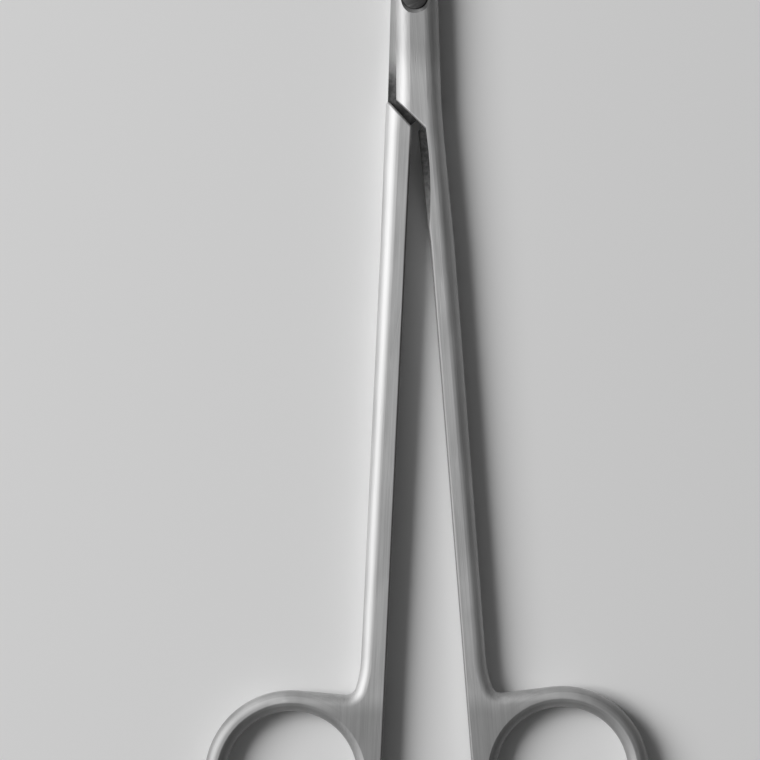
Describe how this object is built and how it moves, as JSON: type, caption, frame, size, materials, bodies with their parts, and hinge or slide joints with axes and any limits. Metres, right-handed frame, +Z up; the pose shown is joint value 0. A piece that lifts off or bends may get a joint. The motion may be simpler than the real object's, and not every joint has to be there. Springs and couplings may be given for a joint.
{
  "type": "kelly scissors",
  "caption": "Straight slender surgical scissors with long shanks, finger rings, sharp narrow blades and a lap joint held by a recessed slotted screw.",
  "frame": {"origin": "on the pivot axis, in the underside of the joint, where the instrument rests", "axes": "+Y towards the blade tips along the middle line, +Z up along the pivot axis towards the screw head, +X towards the ring of the front half"},
  "size_m": [0.0638, 0.1598, 0.0044],
  "materials": {
    "front_steel": "satin ground stainless steel",
    "rear_steel": "satin ground stainless steel",
    "screw_steel": "dull turned stainless steel"
  },
  "bodies": {
    "rear": {"rear_half": "rear_steel", "pivot_screw": "screw_steel"},
    "front": {"front_half": "front_steel"}
  },
  "joints": [
    {"name": "pivot", "type": "hinge", "parent": "rear", "child": "front", "pos_m": [0, 0, 0], "axis": [0, 0, 1], "range_deg": [-4, 66]}
  ]
}
